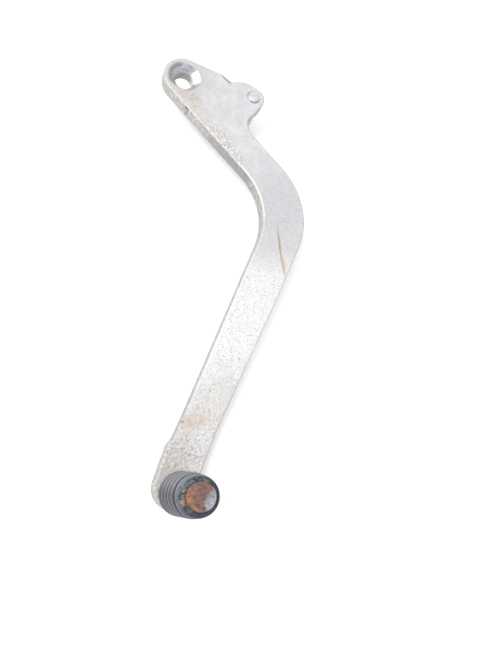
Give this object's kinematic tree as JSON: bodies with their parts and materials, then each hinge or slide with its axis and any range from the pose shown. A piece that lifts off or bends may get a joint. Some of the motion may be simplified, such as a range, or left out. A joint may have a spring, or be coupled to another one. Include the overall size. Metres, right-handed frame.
{
  "type": "gear shift lever",
  "caption": "Cranked flat aluminium foot lever with a countersunk pivot eye, an ear with a ball stud, and a steel toe peg in a ribbed rubber sleeve.",
  "frame": {"origin": "pivot axis, on the cast back face of the arm, which faces the motorcycle", "axes": "+Z along the pivot and out of the front face, the way the toe peg points; -Y from the pivot to the toe peg; +X towards the linkage ear"},
  "size_m": [0.068, 0.2054, 0.0604],
  "materials": {
    "arm": "as cast, bare, pitted and lightly stained",
    "peg": "bare steel, rusted on the exposed end",
    "sleeve": "moulded, ribbed, worn at the end",
    "stud": "plated, dulled"
  },
  "bodies": {
    "root": {"lever_arm": "arm", "toe_peg_pin": "peg", "toe_peg_rubber": "sleeve", "linkage_ball_stud": "stud"}
  },
  "joints": []
}
